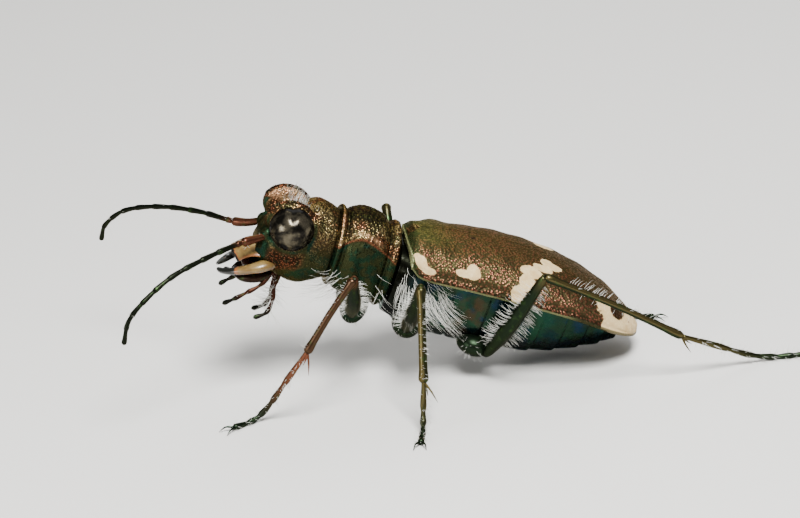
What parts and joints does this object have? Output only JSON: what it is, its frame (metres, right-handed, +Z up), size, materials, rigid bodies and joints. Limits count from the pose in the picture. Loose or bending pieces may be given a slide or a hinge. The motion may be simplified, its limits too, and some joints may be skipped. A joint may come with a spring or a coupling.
{
  "type": "tiger beetle",
  "caption": "Life-size standing tiger beetle with bulging eyes, sickle jaws, long slender legs and copper wing cases with cream marks",
  "frame": {"origin": "on the floor under the middle of the whole animal, feelers and feet included", "axes": "+X towards the tail, -X towards the head, +Y to the beetle's right side, +Z up"},
  "size_m": [0.0268, 0.0166, 0.0075],
  "materials": {
    "copper": "granular copper-coloured cuticle",
    "wing_case": "granular bronze cuticle with cream marks",
    "green": "glossy dark green cuticle",
    "eye": "glossy dark brown",
    "ivory": "glossy cream",
    "dark": "dark brown",
    "leg": "dark metallic green and copper"
  },
  "bodies": {
    "root": {"head": "copper", "labrum": "ivory", "prothorax": "copper", "hind_thorax": "green", "abdomen": "green", "eye_left": "eye", "mandible_left": "ivory", "elytron_left": "wing_case", "palp_maxillary_left": "dark", "palp_labial_left": "dark", "antenna_left_scape": "dark", "antenna_left_base": "dark", "antenna_left_middle": "dark", "antenna_left_tip": "dark", "coxa_front_left": "green", "femur_front_left": "leg", "tibia_front_left": "leg", "tarsus_front_left": "leg", "coxa_mid_left": "green", "femur_mid_left": "leg", "tibia_mid_left": "leg", "tarsus_mid_left": "leg", "coxa_hind_left": "green", "femur_hind_left": "leg", "tibia_hind_left": "leg", "tarsus_hind_left": "leg", "eye_right": "eye", "mandible_right": "ivory", "elytron_right": "wing_case", "palp_maxillary_right": "dark", "palp_labial_right": "dark", "antenna_right_scape": "dark", "antenna_right_base": "dark", "antenna_right_middle": "dark", "antenna_right_tip": "dark", "coxa_front_right": "green", "femur_front_right": "leg", "tibia_front_right": "leg", "tarsus_front_right": "leg", "coxa_mid_right": "green", "femur_mid_right": "leg", "tibia_mid_right": "leg", "tarsus_mid_right": "leg", "coxa_hind_right": "green", "femur_hind_right": "leg", "tibia_hind_right": "leg", "tarsus_hind_right": "leg"}
  },
  "joints": []
}
